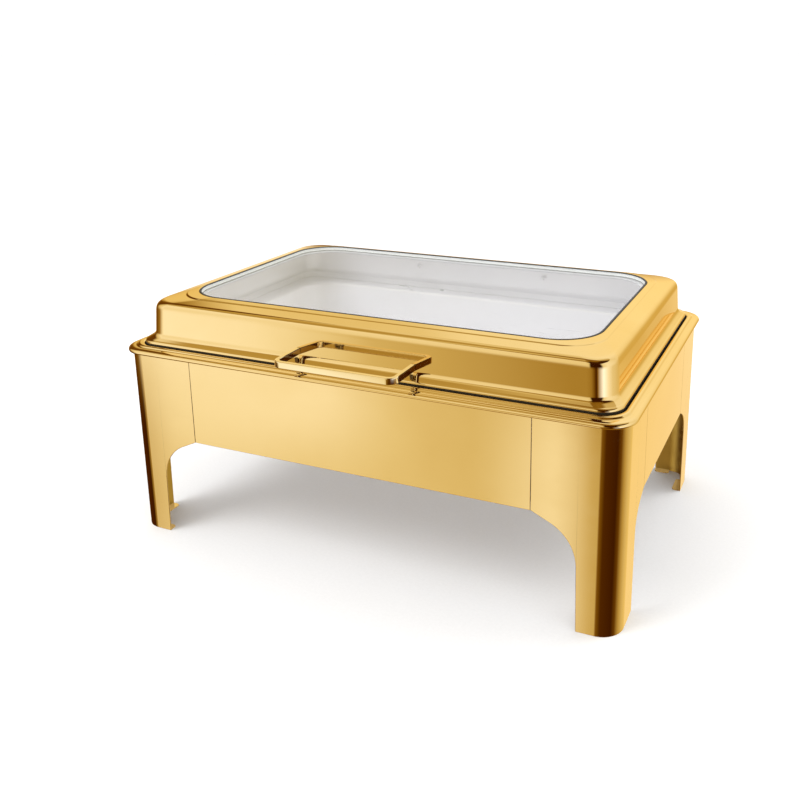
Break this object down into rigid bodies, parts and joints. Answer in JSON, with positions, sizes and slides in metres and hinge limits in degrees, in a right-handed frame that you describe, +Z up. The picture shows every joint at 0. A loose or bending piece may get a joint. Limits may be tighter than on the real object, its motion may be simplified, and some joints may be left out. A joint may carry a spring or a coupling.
{
  "type": "chafing dish",
  "caption": "Rectangular full-size chafing dish: polished gold stand and water pan, steel food pan, and a glazed flip lid on a damped rear hinge.",
  "frame": {"origin": "on the table, at the middle of the bounding box's base", "axes": "+X along the front from left to right, +Y to the back where the hinge is, +Z up"},
  "size_m": [0.6112, 0.456, 0.2893],
  "materials": {
    "gold_sheet": "mirror-polished stainless steel with a gold coating",
    "gold_rim": "mirror-polished gold coating on the rim, satin steel inside",
    "gold_lid": "mirror-polished gold coating outside, satin steel inside",
    "satin_steel": "satin stainless steel",
    "fasteners": "turned stainless steel",
    "glass": "clear tempered glass",
    "black_rubber": "black silicone",
    "black_nylon": "moulded nylon"
  },
  "bodies": {
    "stand": {"leg_front_left": "gold_sheet", "leg_front_right": "gold_sheet", "leg_rear_left": "gold_sheet", "leg_rear_right": "gold_sheet", "apron_front": "gold_sheet", "apron_rear": "gold_sheet", "apron_left": "gold_sheet", "apron_right": "gold_sheet", "strap_long_front_left": "satin_steel", "strap_long_front_right": "satin_steel", "strap_long_rear_left": "satin_steel", "strap_long_rear_right": "satin_steel", "strap_short_front_left": "satin_steel", "strap_short_front_right": "satin_steel", "strap_short_rear_left": "satin_steel", "strap_short_rear_right": "satin_steel", "stand_top_frame": "satin_steel", "water_pan": "gold_rim", "food_pan": "satin_steel", "hinge_base": "gold_sheet", "damper_cartridge": "fasteners", "hinge_bush_left": "black_nylon", "hinge_bush_right": "black_nylon", "base_screw_lower_left": "fasteners", "base_screw_lower_right": "fasteners", "base_screw_upper_left": "fasteners", "base_screw_upper_right": "fasteners", "base_nut_lower_left": "fasteners", "base_nut_lower_right": "fasteners", "base_nut_upper_left": "fasteners", "base_nut_upper_right": "fasteners"},
    "lid": {"lid_shell": "gold_lid", "window_glass": "glass", "window_gasket": "black_rubber", "window_retainer": "satin_steel", "lid_handle": "gold_lid", "handle_screw_left": "fasteners", "handle_screw_right": "fasteners", "flange_screw_left": "gold_lid", "flange_screw_right": "gold_lid", "hinge_shaft": "fasteners", "hinge_arm_left": "gold_lid", "hinge_arm_right": "gold_lid", "arm_screw_left": "fasteners", "arm_screw_right": "fasteners", "arm_nut_left": "fasteners", "arm_nut_right": "fasteners"}
  },
  "joints": [
    {"name": "lid_hinge", "type": "hinge", "parent": "stand", "child": "lid", "pos_m": [0, 0.2205, 0.243], "axis": [-1, 0, 0], "range_deg": [0, 90]}
  ]
}
